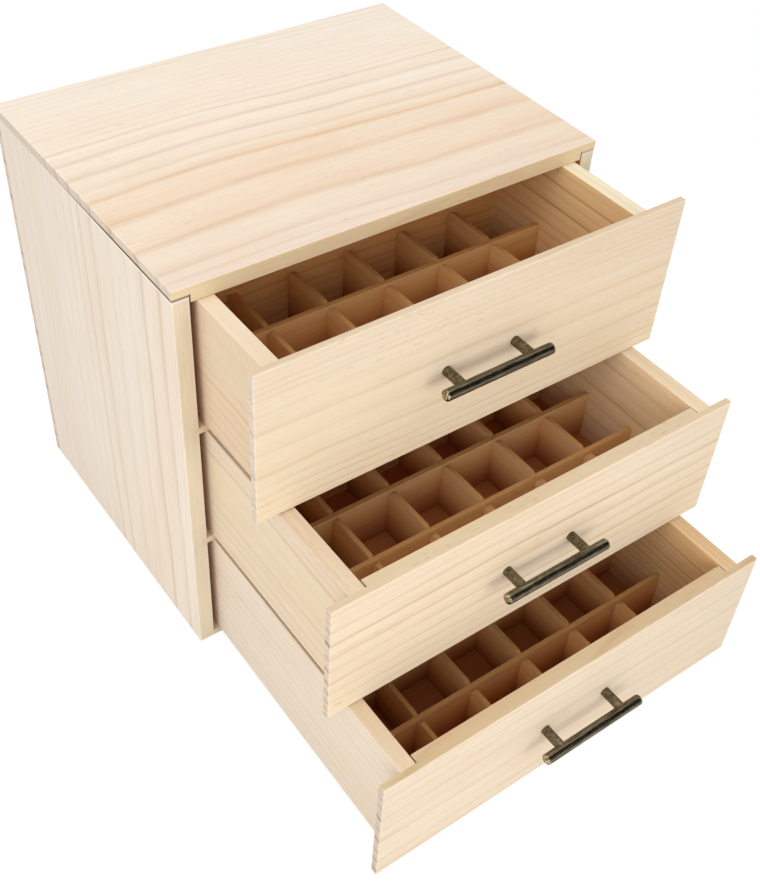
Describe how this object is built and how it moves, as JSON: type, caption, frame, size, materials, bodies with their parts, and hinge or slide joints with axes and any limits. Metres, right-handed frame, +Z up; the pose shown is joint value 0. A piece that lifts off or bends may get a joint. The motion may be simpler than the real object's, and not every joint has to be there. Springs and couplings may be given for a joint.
{
  "type": "essential oil storage box",
  "caption": "Pine tabletop cabinet with pull-out drawers, each with square bottle cells, a compartment behind them and a round bar handle.",
  "frame": {"origin": "middle of the cabinet's underside, between its sides and between its front and rear edges", "axes": "+X to the right seen from the front, +Y to the rear, +Z up; the drawers open towards -Y"},
  "size_m": [0.29, 0.4383, 0.286],
  "materials": {
    "pine": "unfinished sanded pine",
    "sheet_wood": "thin sanded sheet",
    "divider_board": "thin brown board, matt",
    "antique_bronze": "brushed antique bronze, worn at the ends",
    "screw_steel": "zinc plated"
  },
  "bodies": {
    "cabinet": {"top_panel": "pine", "left_side_panel": "pine", "right_side_panel": "pine", "back_panel": "pine", "bottom_panel": "sheet_wood", "lower_shelf": "sheet_wood", "upper_shelf": "sheet_wood"},
    "top_drawer": {"top_drawer_front": "pine", "top_drawer_left_side": "pine", "top_drawer_right_side": "pine", "top_drawer_partition": "pine", "top_drawer_back": "pine", "top_drawer_floor": "sheet_wood", "top_drawer_long_divider_1": "divider_board", "top_drawer_long_divider_2": "divider_board", "top_drawer_cross_divider_1": "divider_board", "top_drawer_cross_divider_2": "divider_board", "top_drawer_cross_divider_3": "divider_board", "top_drawer_cross_divider_4": "divider_board", "top_drawer_cross_divider_5": "divider_board", "top_handle_bar": "antique_bronze", "top_handle_posts": "antique_bronze", "top_handle_screws": "screw_steel"},
    "middle_drawer": {"middle_drawer_front": "pine", "middle_drawer_left_side": "pine", "middle_drawer_right_side": "pine", "middle_drawer_partition": "pine", "middle_drawer_back": "pine", "middle_drawer_floor": "sheet_wood", "middle_drawer_long_divider_1": "divider_board", "middle_drawer_long_divider_2": "divider_board", "middle_drawer_cross_divider_1": "divider_board", "middle_drawer_cross_divider_2": "divider_board", "middle_drawer_cross_divider_3": "divider_board", "middle_drawer_cross_divider_4": "divider_board", "middle_drawer_cross_divider_5": "divider_board", "middle_handle_bar": "antique_bronze", "middle_handle_posts": "antique_bronze", "middle_handle_screws": "screw_steel"},
    "bottom_drawer": {"bottom_drawer_front": "pine", "bottom_drawer_left_side": "pine", "bottom_drawer_right_side": "pine", "bottom_drawer_partition": "pine", "bottom_drawer_back": "pine", "bottom_drawer_floor": "sheet_wood", "bottom_drawer_long_divider_1": "divider_board", "bottom_drawer_long_divider_2": "divider_board", "bottom_drawer_cross_divider_1": "divider_board", "bottom_drawer_cross_divider_2": "divider_board", "bottom_drawer_cross_divider_3": "divider_board", "bottom_drawer_cross_divider_4": "divider_board", "bottom_drawer_cross_divider_5": "divider_board", "bottom_handle_bar": "antique_bronze", "bottom_handle_posts": "antique_bronze", "bottom_handle_screws": "screw_steel"}
  },
  "joints": [
    {"name": "top_drawer_slide", "type": "slide", "parent": "cabinet", "child": "top_drawer", "axis": [0, -1, 0], "range_m": [-0.0717, 0.126]},
    {"name": "middle_drawer_slide", "type": "slide", "parent": "cabinet", "child": "middle_drawer", "axis": [0, -1, 0], "range_m": [-0.1407, 0.057]},
    {"name": "bottom_drawer_slide", "type": "slide", "parent": "cabinet", "child": "bottom_drawer", "axis": [0, -1, 0], "range_m": [-0.1932, 0.0045]}
  ]
}
